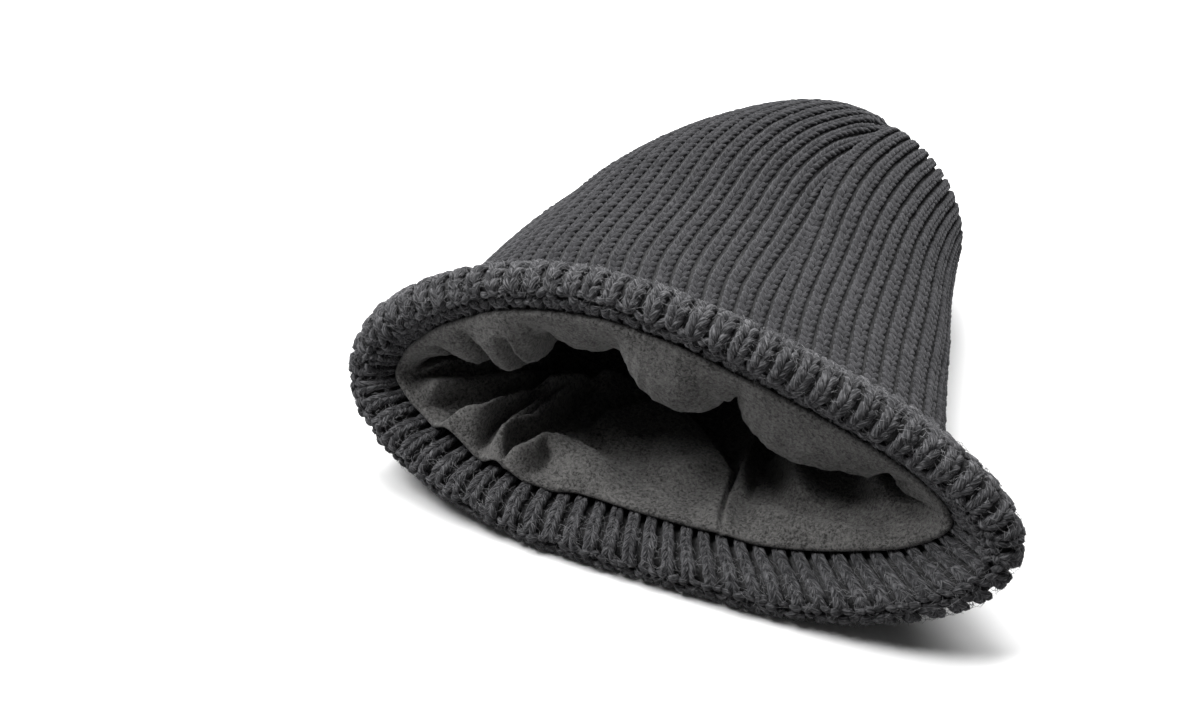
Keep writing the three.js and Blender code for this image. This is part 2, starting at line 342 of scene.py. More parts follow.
def make_piece(name, points, quads, triangles, uv, finish):
    """A smooth-shaded mesh object at the origin, its faces outwards, riding on the hat."""
    points = (points - HAT_MIDDLE) * MM
    triangles = np.zeros((0, 3), int) if triangles is None else triangles
    if volume_of(points, quads, triangles) < 0:
        quads = quads[:, ::-1]
        triangles = triangles[:, ::-1]
    loops = np.concatenate([quads.ravel(), triangles.ravel()]).astype(np.int32)
    starts = np.concatenate([4 * np.arange(len(quads)), 4 * len(quads) + 3 * np.arange(len(triangles))])
    mesh = bpy.data.meshes.new(name)
    mesh.vertices.add(len(points))
    mesh.vertices.foreach_set("co", points.astype(np.float32).ravel())
    mesh.loops.add(len(loops))
    mesh.loops.foreach_set("vertex_index", loops)
    mesh.polygons.add(len(starts))
    mesh.polygons.foreach_set("loop_start", starts.astype(np.int32))
    layer = mesh.uv_layers.new(name="yarn_cm")
    layer.data.foreach_set("uv", uv[loops].astype(np.float32).ravel())
    mesh.update(calc_edges=True)
    mesh.shade_smooth()
    mesh.materials.append(finish)
    piece = add_object(name, mesh)
    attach(piece, "root")
    print(name, len(points), "points", 2 * len(quads) + len(triangles), "triangles")
    return piece


# %% [markdown]
# ## Materials
# Charcoal yarn is a heather: pale and dark fibres spun together, so it shows fine streaks along the
# yarn, a slow mottling, and a fuzz that catches the light at its edges. The UV map runs along and
# across each strand, which lets the streaks follow every stitch. The same streaks serve the rim, the
# crown, the loose fibres and the base behind the stitches, so they are one node group.

# %% Yarn fibres group
def add_node(tree, kind, inputs=None, **settings):
    """A node with its settings and the values of its unlinked sockets."""
    node = tree.nodes.new(kind)
    for key, value in settings.items():
        setattr(node, key, value)
    for key, value in (inputs or {}).items():
        node.inputs[key].default_value = value
    return node


def add_noise(tree, place, scale, detail, roughness):
    """The outputs of a noise texture that is read at a place."""
    values = {"Scale": scale, "Detail": detail, "Roughness": roughness}
    noise = add_node(tree, "ShaderNodeTexNoise", values)
    tree.links.new(place, noise.inputs["Vector"])
    return noise.outputs


def add_math(tree, operation, first, second):
    """An output, plus or times a number or another output."""
    node = add_node(tree, "ShaderNodeMath", operation=operation)
    tree.links.new(first, node.inputs[0])
    if isinstance(second, float):
        node.inputs[1].default_value = second
    else:
        tree.links.new(second, node.inputs[1])
    return node.outputs[0]


def make_fibre_group():
    """Streaks are noise on UV squeezed along the strand; mottling is slow noise in the hat's space."""
    group = bpy.data.node_groups.new("heather_fibres", "ShaderNodeTree")
    sockets = [("Along", "INPUT"), ("Across", "INPUT"), ("Shade", "OUTPUT"), ("Height", "OUTPUT")]
    for name, direction in sockets:
        group.interface.new_socket(name=name, in_out=direction, socket_type="NodeSocketFloat")
    inlet = group.nodes.new("NodeGroupInput")
    outlet = group.nodes.new("NodeGroupOutput")
    link = group.links.new
    where = add_node(group, "ShaderNodeUVMap", uv_map="yarn_cm")
    parts = add_node(group, "ShaderNodeSeparateXYZ")
    link(where.outputs["UV"], parts.inputs[0])
    stretched = add_node(group, "ShaderNodeCombineXYZ")
    for axis, name in enumerate(["Along", "Across"]):
        scaled = add_math(group, "MULTIPLY", parts.outputs[axis], inlet.outputs[name])
        link(scaled, stretched.inputs[axis])
    streaks = add_noise(group, stretched.outputs[0], 1.0, 3.0, 0.65)["Fac"]
    place = add_node(group, "ShaderNodeTexCoord").outputs["Object"]
    mottle = add_math(group, "MULTIPLY", add_noise(group, place, 260.0, 3.0, 0.6)["Fac"], 0.22)
    shade = add_math(group, "ADD", mottle, add_math(group, "MULTIPLY", streaks, 0.78))
    link(shade, outlet.inputs["Shade"])
    link(streaks, outlet.inputs["Height"])
    return group


FIBRES = make_fibre_group()
print("node group:", FIBRES.name, len(FIBRES.nodes), "nodes")

# %% [markdown]
# ### Four yarns
# The rim's heather is the strongest. The crown's is the same yarn, darkened as painted shade and quieter
# so it looks soft. The base behind the stitches is plain, and a loose fibre is pale, made paler still as a
# painted highlight of the fuzz. Each is one call with its dark, middle and pale colours.

# %% Yarn materials
RAMP_DARK = 0.38
RAMP_PALE = 0.64


def start_material(name, values):
    """A material, its node tree and its Principled shader with these values."""
    material = bpy.data.materials.new(name)
    material.use_nodes = True
    skin = material.node_tree.nodes["Principled BSDF"]
    for key, value in values.items():
        skin.inputs[key].default_value = value
    return material, material.node_tree, skin


def add_ramp(tree, shade, dark, middle, pale, middle_at):
    """The colour that a shade picks: dark below RAMP_DARK, pale above RAMP_PALE."""
    ramp = add_node(tree, "ShaderNodeValToRGB")
    stops = ramp.color_ramp.elements
    stops[0].position = RAMP_DARK
    stops[0].color = (*dark, 1)
    stops[1].position = RAMP_PALE
    stops[1].color = (*pale, 1)
    stops.new(middle_at).color = (*middle, 1)
    tree.links.new(shade, ramp.inputs["Fac"])
    return ramp.outputs["Color"]


def add_bump(tree, height, strength, distance):
    """The direction of a surface that a height lifts."""
    lift = add_node(tree, "ShaderNodeBump", {"Strength": strength, "Distance": distance})
    tree.links.new(height, lift.inputs["Height"])
    return lift.outputs["Normal"]


def make_yarn(name, dark, middle, pale, along, across, bump, sheen):
    """A heather yarn: its shade picks from dark to pale, and its streaks lift the surface a little."""
    material, tree, skin = start_material(name, {
        "Roughness": 0.92,
        "Specular IOR Level": 0.18,
        "Sheen Weight": sheen,
        "Sheen Roughness": 0.45,
        "Sheen Tint": (0.8, 0.8, 0.84, 1),
    })
    fibres = add_node(tree, "ShaderNodeGroup", node_tree=FIBRES)
    fibres.inputs["Along"].default_value = along
    fibres.inputs["Across"].default_value = across
    colour = add_ramp(tree, fibres.outputs["Shade"], dark, middle, pale, 0.49)
    tree.links.new(colour, skin.inputs["Base Color"])
    tree.links.new(add_bump(tree, fibres.outputs["Height"], bump, 0.0005), skin.inputs["Normal"])
    return material


charcoal_yarn = make_yarn(
    "charcoal_yarn", (0.008, 0.008, 0.009), (0.034, 0.034, 0.036), (0.170, 0.169, 0.176),
    along=3.5, across=19.0, bump=1.0, sheen=0.20)
# The crown's yarn is the rim's yarn: its darker colours are painted shade, its weaker streaks a soft look.
crown_yarn_painted_darker = make_yarn(
    "crown_yarn_painted_darker", (0.012, 0.012, 0.013), (0.026, 0.026, 0.028), (0.066, 0.065, 0.069),
    along=3.5, across=17.0, bump=0.6, sheen=0.22)
charcoal_base = make_yarn(
    "charcoal_base", (0.018, 0.018, 0.018), (0.036, 0.036, 0.037), (0.070, 0.070, 0.072),
    along=9.0, across=22.0, bump=0.6, sheen=0.0)
# Loose fibres: pale heather fibres, made paler still as a painted highlight of the fuzz.
pale_fibre_and_highlight = make_yarn(
    "pale_fibre_and_highlight", (0.06, 0.06, 0.06), (0.16, 0.16, 0.165), (0.32, 0.32, 0.33),
    along=9.0, across=22.0, bump=0.0, sheen=0.20)
print("yarns:", [yarn.name for yarn in (charcoal_yarn, crown_yarn_painted_darker, charcoal_base, pale_fibre_and_highlight)])

# %% [markdown]
# ## Stitches
# A knit column is a chain of V shapes. Each leg of a V is a short length of yarn that starts under the
# stitch below, swells as it comes to the face, and dives again at the top. Drawing each leg as its
# own small tube gives real gaps and shadows between the strands, which a bump can't. All legs are one
# array: leg number by ring by side.

# %% Yarn tubes
SHIFT_ALONG = 40
SHIFT_ROUND = 9


def yarn_tubes(rib, across, along, lift, radius, twist, sides, place, seed, flat=0.85):
    """Tubes whose middle lines are given in rib numbers, millimetres across and along, and lift.

    Each ring is an oval square to its line in the cloth: middle + radius * (cos * aside + flat * sin * up).
    Both ends close on a pole. Each tube's UV starts somewhere else along the yarn, and twist turns the
    fibres round it as they run along.
    """
    count, rings = across.shape
    run_across = np.gradient(across, axis=1)
    run_along = np.gradient(along, axis=1)
    run = np.hypot(run_across, run_along)
    turn = 2 * np.pi * np.arange(sides) / sides
    aside = radius[..., None] * np.cos(turn)
    up = flat * radius[..., None] * np.sin(turn)
    x = across[..., None] + aside * (run_along / run)[..., None]
    y = along[..., None] - aside * (run_across / run)[..., None]
    h = lift[..., None] + up
    body = place(rib[:, None, None], x, y, h).reshape(count, rings * sides, 3)
    ends = [place(rib, across[:, k], along[:, k], lift[:, k])[:, None] for k in (0, -1)]
    points = np.concatenate([body, *ends], axis=1)
    draw = np.random.default_rng(seed)
    travelled = np.cumsum(run, axis=1)[..., None] / CM + draw.uniform(0, SHIFT_ALONG, (count, 1, 1))
    round_it = (radius[..., None] * turn) / CM + draw.uniform(0, SHIFT_ROUND, (count, 1, 1))
    round_it = round_it + twist[:, None, None] * travelled
    uv_body = np.stack([np.broadcast_to(travelled, h.shape), round_it], axis=-1)
    uv_body = uv_body.reshape(count, rings * sides, 2)
    uv = np.concatenate([uv_body, uv_body[:, :1], uv_body[:, -1:]], axis=1)
    one = rings * sides + 2
    quads = grid_quads(rings, sides)
    fan = np.vstack([
        pole_triangles(np.arange(sides), one - 2)[:, ::-1],
        pole_triangles(np.arange(sides) + (rings - 1) * sides, one - 1),
    ])
    offset = (np.arange(count) * one)[:, None, None]
    quads = (quads[None] + offset).reshape(-1, 4)
    fan = (fan[None] + offset).reshape(-1, 3)
    return points.reshape(-1, 3), quads, fan, uv.reshape(-1, 2)


def join_parts(name, parts, finish):
    """Several sets of tubes in one mesh."""
    starts = np.cumsum([0] + [len(part[0]) for part in parts])
    points = np.vstack([part[0] for part in parts])
    quads = np.vstack([part[1] + start for part, start in zip(parts, starts)])
    fans = np.vstack([part[2] + start for part, start in zip(parts, starts)])
    uv = np.vstack([part[3] for part in parts])
    return make_piece(name, points, quads, fans, uv, finish)


# %% Legs of the stitches
LEG_FOOT = 0.070
LEG_LEAN = 0.170
LEG_REACH = 1.65
LEG_BELOW = 0.45
LEG_BOW = 0.16
LEG_RADIUS = 0.21
LEG_TWIST = 0.45


def stitch_legs(rib, row_at, row_height, pitch, sink, rings, seed, uneven):
    """Both legs of each V: lines that lean outwards as they rise, thick in the middle, sunk at the ends.

    Every width is a part of the pitch from rib to rib, so a stretched rib has wider stitches.
    """
    draw = np.random.default_rng(seed)
    rib = np.repeat(rib, 2)
    row_at = np.repeat(row_at, 2)
    pitch = np.repeat(pitch, 2)[:, None]
    side = np.tile([-1.0, 1.0], len(rib) // 2)[:, None]
    t = np.linspace(0, 1, rings)[None]
    jitter = draw.normal(0, 1, (4, len(rib), 1)) * uneven
    lean = (LEG_FOOT + LEG_LEAN * t) * pitch
    across = side * lean + 0.12 * jitter[0]
    along = row_at[:, None] + (t - LEG_BELOW) * row_height * LEG_REACH + 0.16 * jitter[1]
    arch = 1 - (2 * t - 1) ** 2
    lift = sink * (arch - 1) - LEG_BOW * lean**2 + 0.10 * jitter[2]
    swell = (0.70 + 0.30 * np.sqrt(arch)) * (1 + 0.05 * jitter[3])
    return rib, across, along, lift, LEG_RADIUS * pitch * swell, LEG_TWIST * side[:, 0]


print("a leg reaches over", LEG_REACH, "rows and is", 2 * LEG_RADIUS, "of a rib thick")

# %% [markdown]
# ## The cuff
# The cuff's face runs from under the lining's hem, round the fold and back to a free edge. Its
# profile is unrolled to one length s: a straight inner layer, a half circle at the fold, a straight
# outer layer and a small half circle at the free edge.

# %% Cuff profile
FOLD_GAP = 0.7
NOSE = CUFF_HALF * np.pi / 2
EDGE_RADIUS = (CUFF_HALF - FOLD_GAP) / 2
EDGE_START = NOSE + CUFF_OUTER
CUFF_WANDER = 0.0016


def cuff_profile(s, lift):
    """Path and depth of a point at length s along the cuff's face and a lift off it."""
    turn = np.clip(s, -NOSE, NOSE) / CUFF_HALF
    edge = np.clip(s - EDGE_START, 0, np.pi * EDGE_RADIUS) / EDGE_RADIUS
    straight_in = np.maximum(-NOSE - s, 0)
    straight_out = np.clip(s - NOSE, 0, CUFF_OUTER)
    round_edge = s > EDGE_START
    face = CUFF_HALF + lift
    path = straight_in + straight_out - face * np.cos(turn)
    depth = -face * np.sin(turn)
    edge_path = CUFF_OUTER + (EDGE_RADIUS + lift) * np.sin(edge)
    edge_depth = -(CUFF_HALF - EDGE_RADIUS) - (EDGE_RADIUS + lift) * np.cos(edge)
    return np.where(round_edge, edge_path, path), np.where(round_edge, edge_depth, depth)


def on_cuff(rib, across, s, lift):
    """A point of the cuff: rib number, millimetres across it, length s and lift off the face."""
    rib, across, s, lift = np.broadcast_arrays(rib, across, s, lift)
    path, depth = cuff_profile(s, lift)
    share = (rib + across * RIB_COUNT / girth_at(np.maximum(path, 0))) / RIB_COUNT
    share = share + CUFF_WANDER * wander(share, path, seed=11, turns=9, length=60)
    return cloth(path, share, depth, depth)


def lower_lip(share):
    """1 at the middle of the lower lip, 0 at the middle of the upper one."""
    return 0.5 + 0.5 * np.cos(2 * np.pi * share)


def rib_wave(share):
    """0 on the top of each rib and 1 in the groove between two."""
    return 0.5 - 0.5 * np.cos(2 * np.pi * RIB_COUNT * share)


print("the cuff's two layers and its fold are", round(CUFF_INNER + 2 * NOSE + CUFF_OUTER, 1), "mm long")

# %% [markdown]
# ### The cuff's body
# Behind the stitches that show lies more yarn. A plain body stands for it and closes the gaps. It has
# a groove between the ribs, deepest on the lower lip, where the photograph shows the ribs bunched.

# %% Cuff body
SIDES_PER_RIB = 6
FACE_STEP = 2.4
EDGE_END = 45.6
EDGE_RINGS = 6
BODY_SINK = 0.95
BODY_GROOVE = 0.35
LOWER_GROOVE = 1.25
CUFF_BACK = [
    (25, -FOLD_GAP), (14, -FOLD_GAP), (1.5, -FOLD_GAP),
    (1.5, FOLD_GAP), (10, FOLD_GAP), (20, FOLD_GAP),
]
BACK_LENGTHS = 60 + 8 * np.arange(len(CUFF_BACK))


def make_cuff_body():
    """The solid part of the cuff: its face is sunk by BODY_SINK + groove * rib wave."""
    straight = np.arange(-NOSE - CUFF_INNER, EDGE_START, FACE_STEP)
    face = np.concatenate([straight, np.linspace(EDGE_START, EDGE_END, EDGE_RINGS)])
    columns = SIDES_PER_RIB * RIB_COUNT
    share = np.arange(columns)[None] / columns
    groove = BODY_GROOVE + LOWER_GROOVE * lower_lip(share) ** 2
    outer = on_cuff(share * RIB_COUNT, 0.0, face[:, None], -BODY_SINK - groove * rib_wave(share))
    inner = np.array([cloth(path, share[0], depth, depth) for path, depth in CUFF_BACK])
    points = np.concatenate([outer, inner], axis=0)
    rows = len(points)
    quads = grid_quads(rows + 1, columns) % (rows * columns)
    uv = cloth_uv(np.concatenate([face, BACK_LENGTHS]), share[0], GIRTH[0])
    return make_piece("cuff_body", points.reshape(-1, 3), quads, None, uv, charcoal_base)


cuff_body = make_cuff_body()
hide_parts("cuff")

# %% [markdown]
# ### The cast-on row
# The knit starts with a cast-on row close to the cuff's fold, and along the upper lip it has rolled
# inwards. A table gives its place, and that of the lining's hem, since both lie by chance.

# %% Cast-on row
# Columns: share, length s of the cast-on row, path of the lining's hem.
CAST_ON = np.array([
    [0.00, 1.2, 13], [0.12, 0.5, 13], [0.20, -3.0, 13], [0.26, -8.0, 12.5], [0.32, -11.0, 11],
    [0.38, -12.5, 10.5], [0.43, -11.5, 9], [0.48, -8.0, 5.5], [0.54, -6.5, 4], [0.61, -6.5, 4],
    [0.66, -9.0, 7], [0.70, -10.0, 10], [0.735, -5.5, 12], [0.77, 0.5, 12], [0.80, 2.2, 11],
    [0.83, 2.6, 8.5], [0.86, 2.4, 9], [0.885, 2.2, 8], [0.915, 2.0, 10.5], [0.945, 1.8, 13],
    [1.00, 1.2, 13],
])


def round_table(table, share, column):
    """A column of a table against share, its steps rounded into S curves."""
    wrapped = np.mod(share, 1)
    row = np.clip(np.searchsorted(table[:, 0], wrapped, side="right") - 1, 0, len(table) - 2)
    step = smooth(wrapped, table[row, 0], table[row + 1, 0])
    return table[row, column] * (1 - step) + table[row + 1, column] * step


def cast_on_at(share):
    """Where the cast-on row lies on the cuff's face, as a length s."""
    return round_table(CAST_ON, share, 1)


def hem_path_at(share):
    """The path at which the lining's hem lies."""
    return round_table(CAST_ON, share, 2)


def on_knit_cuff(rib, across, row, lift):
    """As on_cuff, with the rows of knitting counted from the cast-on row."""
    return on_cuff(rib, across, row + cast_on_at(np.asarray(rib) / RIB_COUNT), lift)


print("the cast-on row lies from", CAST_ON[:, 1].min(), "to", CAST_ON[:, 1].max(), "mm round the fold")

# %% [markdown]
# ### The cuff's stitches
# Each rib is a column of V shapes on both sides of the cast-on row, which itself shows as bumps, two to
# a rib. The upper lip is stretched and the lower lip bunched, so their stitches differ in width.

# %% Cuff stitches
ROW_HEIGHT = 3.3
FIRST_ROW = ROW_HEIGHT + 0.6
UPPER_WIDTH = 1.08
LOWER_NARROWING = 0.19
UNDER_HEM = 4.0
PAST_EDGE = 4.5
BUMP_ROWS = [(1.7, 6), (-1.7, 7)]
BUMP_HALF = 1.75
BUMP_RADIUS = 1.25
BUMP_TILT = 0.8
BUMP_SINK = 0.9


def make_cast_on():
    """Two rows of bumps, two to a rib: short arches, each tilted one way or the other."""
    draw = np.random.default_rng(5)
    count = 2 * RIB_COUNT
    t = np.linspace(-1, 1, 5)[None]
    sets = []
    for row_at, seed in BUMP_ROWS:
        rib = np.arange(count) / 2 + (0.25 if row_at < 0 else 0.0)
        jitter = draw.normal(0, 1, (4, count, 1))
        across = BUMP_HALF * t + 0.35 * jitter[0]
        tilt = BUMP_TILT * draw.choice([-1, 1], (count, 1)) + 0.5 * jitter[3]
        along = row_at + tilt * t + 0.45 * jitter[1]
        lift = -BUMP_SINK + BUMP_SINK * (1 - t**2) + 0.3 * jitter[2]
        radius = BUMP_RADIUS * (0.65 + 0.35 * np.sqrt(1 - t**2)) * (1 + 0.1 * jitter[1])
        twist = 0.4 * tilt[:, 0]
        sets.append(yarn_tubes(rib, across, along, lift, radius, twist, 6, on_knit_cuff, seed=seed))
    return sets


def make_cuff_stitches():
    """V columns on both faces of the cuff, without their hidden rows, and the cast-on bumps between."""
    up_rows = np.arange(FIRST_ROW, EDGE_START + 14, ROW_HEIGHT)
    down_rows = -np.arange(FIRST_ROW, NOSE + 20, ROW_HEIGHT)
    rows = np.concatenate([down_rows[::-1], up_rows])
    grid = np.meshgrid(np.arange(RIB_COUNT), rows, indexing="ij")
    rib, row = [part.ravel().astype(float) for part in grid]
    s = row + cast_on_at(rib / RIB_COUNT)
    hem_s = -NOSE - hem_path_at(rib / RIB_COUNT)
    kept = (s > hem_s - UNDER_HEM) & (s < EDGE_START + PAST_EDGE)
    rib, row, s = rib[kept], row[kept], s[kept]
    pitch = girth_at(np.maximum(np.abs(s) - NOSE, 0)) / RIB_COUNT
    pitch = pitch * (UPPER_WIDTH - LOWER_NARROWING * lower_lip(rib / RIB_COUNT))
    legs = stitch_legs(rib, row, ROW_HEIGHT, pitch, sink=0.7, rings=5, seed=3, uneven=1.3)
    columns = yarn_tubes(*legs, 6, on_knit_cuff, seed=4)
    return join_parts("cuff_stitches", [columns, *make_cast_on()], charcoal_yarn)


cuff_stitches = make_cuff_stitches()

# %% [markdown]
# ## The crown
# Four gores of eighteen ribs make the crown. Low down the ribs stretch to fill the girth. Higher up
# the knitter decreases at four dart lines, on one side only: a gore's ribs run beside the dart on their
# left, as the camera sees it, narrow a little, and end one by one at the dart on their right. So a rib
# is counted from its gore's left dart, and it is left out once its count is past the right one.

# %% Crown
GORES = 4
RIBS_IN_GORE = 18
DART_SHARES = np.array([0.1736, 0.4236, 0.6736, 0.9236])
DART_DEPTH = 1.3
CROWN_TUCK = 0.9
KNIT_WALL = 5
DECREASE_START = 60
DECREASE_POWER = 0.65
CROWN_START = CUFF_INNER + 0.3
CROWN_END = 234
CROWN_OUTSIDE = np.concatenate([np.arange(CROWN_START, CROWN_END, 3.0), [CROWN_END, 237]])
CROWN_INSIDE = np.array([228, 215, 190, 160, 130, 100, 70, 45, CROWN_START])
TIP = sample(REFERENCE, np.array([TIP_PATH]), np.array([0.0]))
TIP_SINK = 1.2


def crown_top(path):
    """How far the crown lies under the reference surface where the cuff covers it."""
    return CROWN_TUCK * (1 - smooth(path, CUFF_OUTER, CROWN_CLEAR))


def dart_pull(path, share):
    """The dart lines are drawn in by a little more than a millimetre."""
    nearest = np.min([np.abs((share - at + 1.5) % 1 - 0.5) for at in DART_SHARES], axis=0)
    half_rib = 0.5 / RIB_COUNT
    return DART_DEPTH * smooth(path, 70, 120) * (1 - smooth(nearest, 0.3 * half_rib, 2.4 * half_rib))


def crown_point(path, share, lift):
    """A point of the crown's face, lift millimetres above the tops of its ribs."""
    path, share, lift = np.broadcast_arrays(path, share, lift)
    top = crown_top(path)
    return cloth(path, share, top + dart_pull(path, share) - lift, top)


def shrink_at(path):
    """The part of a gore's ribs that is left: the girth's part to a power under 1, as ribs narrow too."""
    return np.minimum(girth_at(path) / girth_at(DECREASE_START), 1) ** DECREASE_POWER


def make_crown_body():
    """A closed bag: a grooved outside behind the stitches and a plain inside."""
    columns = SIDES_PER_RIB * RIB_COUNT
    share = np.arange(columns)[None] / columns
    gore_share = (share - DART_SHARES[0]) * GORES
    from_dart = 1 - (gore_share - np.floor(gore_share))
    rib_number = from_dart * RIBS_IN_GORE * shrink_at(CROWN_OUTSIDE)[:, None]
    wave = rib_wave((rib_number - 0.5) / RIB_COUNT)
    outer = crown_point(CROWN_OUTSIDE[:, None], share, -0.60 - 0.35 * wave)
    depth = crown_top(CROWN_INSIDE)[:, None] + KNIT_WALL
    inner = cloth(CROWN_INSIDE[:, None], share, depth, KNIT_WALL)
    poles = np.vstack([TIP - [0, TIP_SINK, 0], TIP - [0, KNIT_WALL, 0]])
    points = np.vstack([outer.reshape(-1, 3), poles, inner.reshape(-1, 3)])
    quads, fans = bag_faces(len(CROWN_OUTSIDE), len(CROWN_INSIDE), columns)
    uv = bag_uv(CROWN_OUTSIDE, CROWN_INSIDE, share[0], GIRTH[0], 0)
    return make_piece("crown_body", points, quads, fans, uv, charcoal_base)


crown_body = make_crown_body()
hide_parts("knit_crown")

# %% [markdown]
# ### The crown's stitches
# The legs are those of the cuff, flatter and more even. They could be copies of one V, but then they
# wouldn't widen with the girth or end at the darts. Each gore is a piece.

# %% Crown stitches
CROWN_ROW = 3.1
CROWN_WANDER = 0.0012
GORE_STEP = 100
CROWN_WIDTH = 1.04
LAST_RIB = 0.45


def on_crown(rib, across, along, lift):
    """A point beside a rib, whose number is GORE_STEP for each gore plus its count from the left dart."""
    rib, across, along, lift = np.broadcast_arrays(rib, across, along, lift)
    path = np.clip(along, CROWN_START, TIP_PATH - 2)
    gore = np.floor(rib / GORE_STEP)
    pitch = girth_at(path) / RIB_COUNT / shrink_at(path)
    from_dart = rib - GORE_STEP * gore - across / pitch
    share = DART_SHARES[0] + (gore + 1) / GORES - from_dart / RIB_COUNT / shrink_at(path)
    share = share + CROWN_WANDER * wander(share, path, seed=21, turns=8, length=90)
    return crown_point(path, share, lift)


def make_gore(gore):
    """The V columns of one gore, each left out past the dart line."""
    rows = np.arange(CROWN_START + 6, CROWN_END, CROWN_ROW)
    number = np.arange(RIBS_IN_GORE) + 0.5
    rib, row = [part.ravel() for part in np.meshgrid(number, rows, indexing="ij")]
    kept = rib < RIBS_IN_GORE * shrink_at(row) + LAST_RIB
    rib, row = rib[kept], row[kept]
    pitch = CROWN_WIDTH * (girth_at(row) / RIB_COUNT / shrink_at(row))
    rib = GORE_STEP * gore + rib
    legs = stitch_legs(rib, row, CROWN_ROW, pitch, sink=0.35, rings=4, seed=30 + gore, uneven=0.7)
    tubes = yarn_tubes(*legs, 5, on_crown, seed=40 + gore)
    return join_parts(f"crown_stitches_{gore + 1}", [tubes], crown_yarn_painted_darker)


gores = [make_gore(gore) for gore in range(GORES)]

# %% [markdown]
# ## Loose fibres
# Spun yarn sheds short fibres that stand off the knit, and they are what makes the rim look soft. Each
# is a very thin bent tube that starts inside a stitch and leaves it at a random lean.

# %% Loose fibres
FIBRE_COUNT = 8000
FIBRE_ZONE = (-15, 24)
FIBRE_LENGTH = (1.0, 3.2)
FIBRE_RISE = (0.02, 0.45)
FIBRE_RADIUS = 0.085


def make_fibres():
    """Thin curves: a straight run sideways and along, lifted by a root that slows as it goes."""
    draw = np.random.default_rng(71)
    t = np.linspace(0, 1, 3)[None]
    rib = draw.uniform(0, RIB_COUNT, FIBRE_COUNT)
    start = draw.uniform(*FIBRE_ZONE, (FIBRE_COUNT, 1))
    length = draw.uniform(*FIBRE_LENGTH, (FIBRE_COUNT, 1))
    lean = draw.uniform(0, 2 * np.pi, (FIBRE_COUNT, 1))
    rise = draw.uniform(*FIBRE_RISE, (FIBRE_COUNT, 1))
    bend = draw.normal(0, 0.5, (FIBRE_COUNT, 1))
    across = length * (np.cos(lean) * t + bend * t**2)
    along = start + length * np.sin(lean) * t
    lift = 0.5 + rise * length * t**0.8 - 0.9 * (1 - t) ** 2
    radius = np.broadcast_to(FIBRE_RADIUS * (1 - 0.5 * t), across.shape)
    twist = np.zeros(FIBRE_COUNT)
    tubes = yarn_tubes(rib, across, along, lift, radius, twist, 3, on_knit_cuff, seed=72, flat=1.0)
    return join_parts("cuff_fibres", [tubes], pale_fibre_and_highlight)


cuff_fibres = make_fibres()

# %% [markdown]
# ## The fleece lining
# The lining is a bag of fleece that is a little too large for the hat. Along the upper lip the spare
# cloth hangs in swells between the places where it is caught, and across the lower side it lies in
# soft folds. Each swell and fold is a small height function of path and share, added to a plain bag.
# A crease takes part of that height away along a narrow line. The lines follow the photograph's folds,
# since real folds lie by chance.

# %% Lining folds
FLEECE_START = 13
FLEECE_DEPTH = 6.5
FLEECE_WALL = 2.4
FOLD_GIRTH = 400
LINE_END = 0.001
SHARE_UNIT = 1000
# Every share in these tables is in thousandths. The first holds how far the upper lining hangs.
HANGS = np.array([
    [0, 0], [245, 0], [258, 4], [275, 6], [288, 6], [294, 3], [300, 7], [315, 10], [330, 12], [350, 15],
    [372, 17], [392, 16.5], [408, 14], [420, 11], [427, 8], [431, 5], [435, 9], [443, 12.5], [456, 14],
    [473, 15], [488, 14.5], [502, 12.5], [512, 9.5], [519, 6], [524, 3], [533, 3], [548, 4.5], [563, 4.5],
    [577, 3], [587, 1.5], [594, 1.5], [602, 7], [611, 11], [622, 13], [634, 12.5], [643, 9], [649, 3.5],
    [656, 7.5], [668, 9.5], [680, 8], [690, 3.5], [700, 4.5], [711, 3], [728, 1], [750, 0], [1000, 0],
], dtype=float)
# Width, part of the height that it takes, line of path and share.
CREASES = [
    [2.2, 0.6, [(9, 616.5), (21, 618), (30, 618)]],
    [2.4, 0.9, [(12, 649), (26, 650), (36, 649)]],
    [2.2, 0.8, [(12, 688), (26, 691), (34, 693)]],
    [2.8, 0.9, [(8, 585), (24, 591), (34, 592)]],
    [3, 0.35, [(9, 542), (22, 529), (34, 524)]],
    [3, 0.35, [(12, 456), (24, 436), (36, 431)]],
    [3, 0.4, [(14, 312), (28, 294), (40, 293)]],
    [2, 1, [(14, 874), (16, 875), (20, 877), (23.5, 879), (27, 884), (31.5, 889), (44, 896), (70, 908)]],
    [2, 0.95, [
        (0, 864), (6, 861), (14, 858), (20.5, 856), (26.5, 859), (34.5, 867), (39.5, 870), (44, 873),
    ]],
    [2.2, 0.8, [(24, 907.5), (14, 910), (4, 914)]],
]
